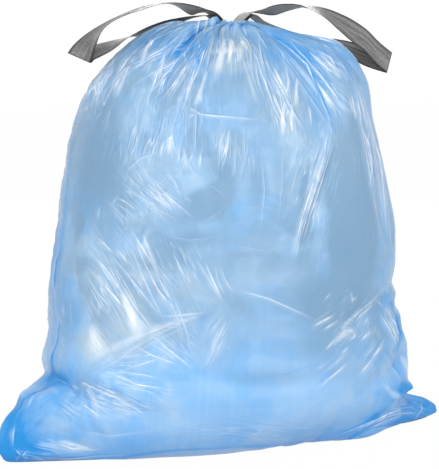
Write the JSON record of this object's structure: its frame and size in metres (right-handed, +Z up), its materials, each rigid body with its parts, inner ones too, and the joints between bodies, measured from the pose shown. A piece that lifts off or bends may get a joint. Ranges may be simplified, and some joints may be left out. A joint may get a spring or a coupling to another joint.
{
  "type": "drawstring bin bag",
  "caption": "Filled thin-film bin bag, drawn shut at its gathered mouth, with a flat draw tape looping out over both shoulders, standing on its sealed base.",
  "frame": {"origin": "centre of the bounding box's underside, on the floor that the bag stands on", "axes": "+Z up, +X along the bottom seal towards the right corner seen from the front, -Y towards the front"},
  "size_m": [0.5868, 0.2912, 0.5251],
  "materials": {
    "film": "pale blue, thin see-through film, glossy and wrinkled",
    "tape": "grey plastic tape, satin"
  },
  "bodies": {
    "root": {"film_bag": "film", "front_tape": "tape", "back_tape": "tape"}
  },
  "joints": []
}
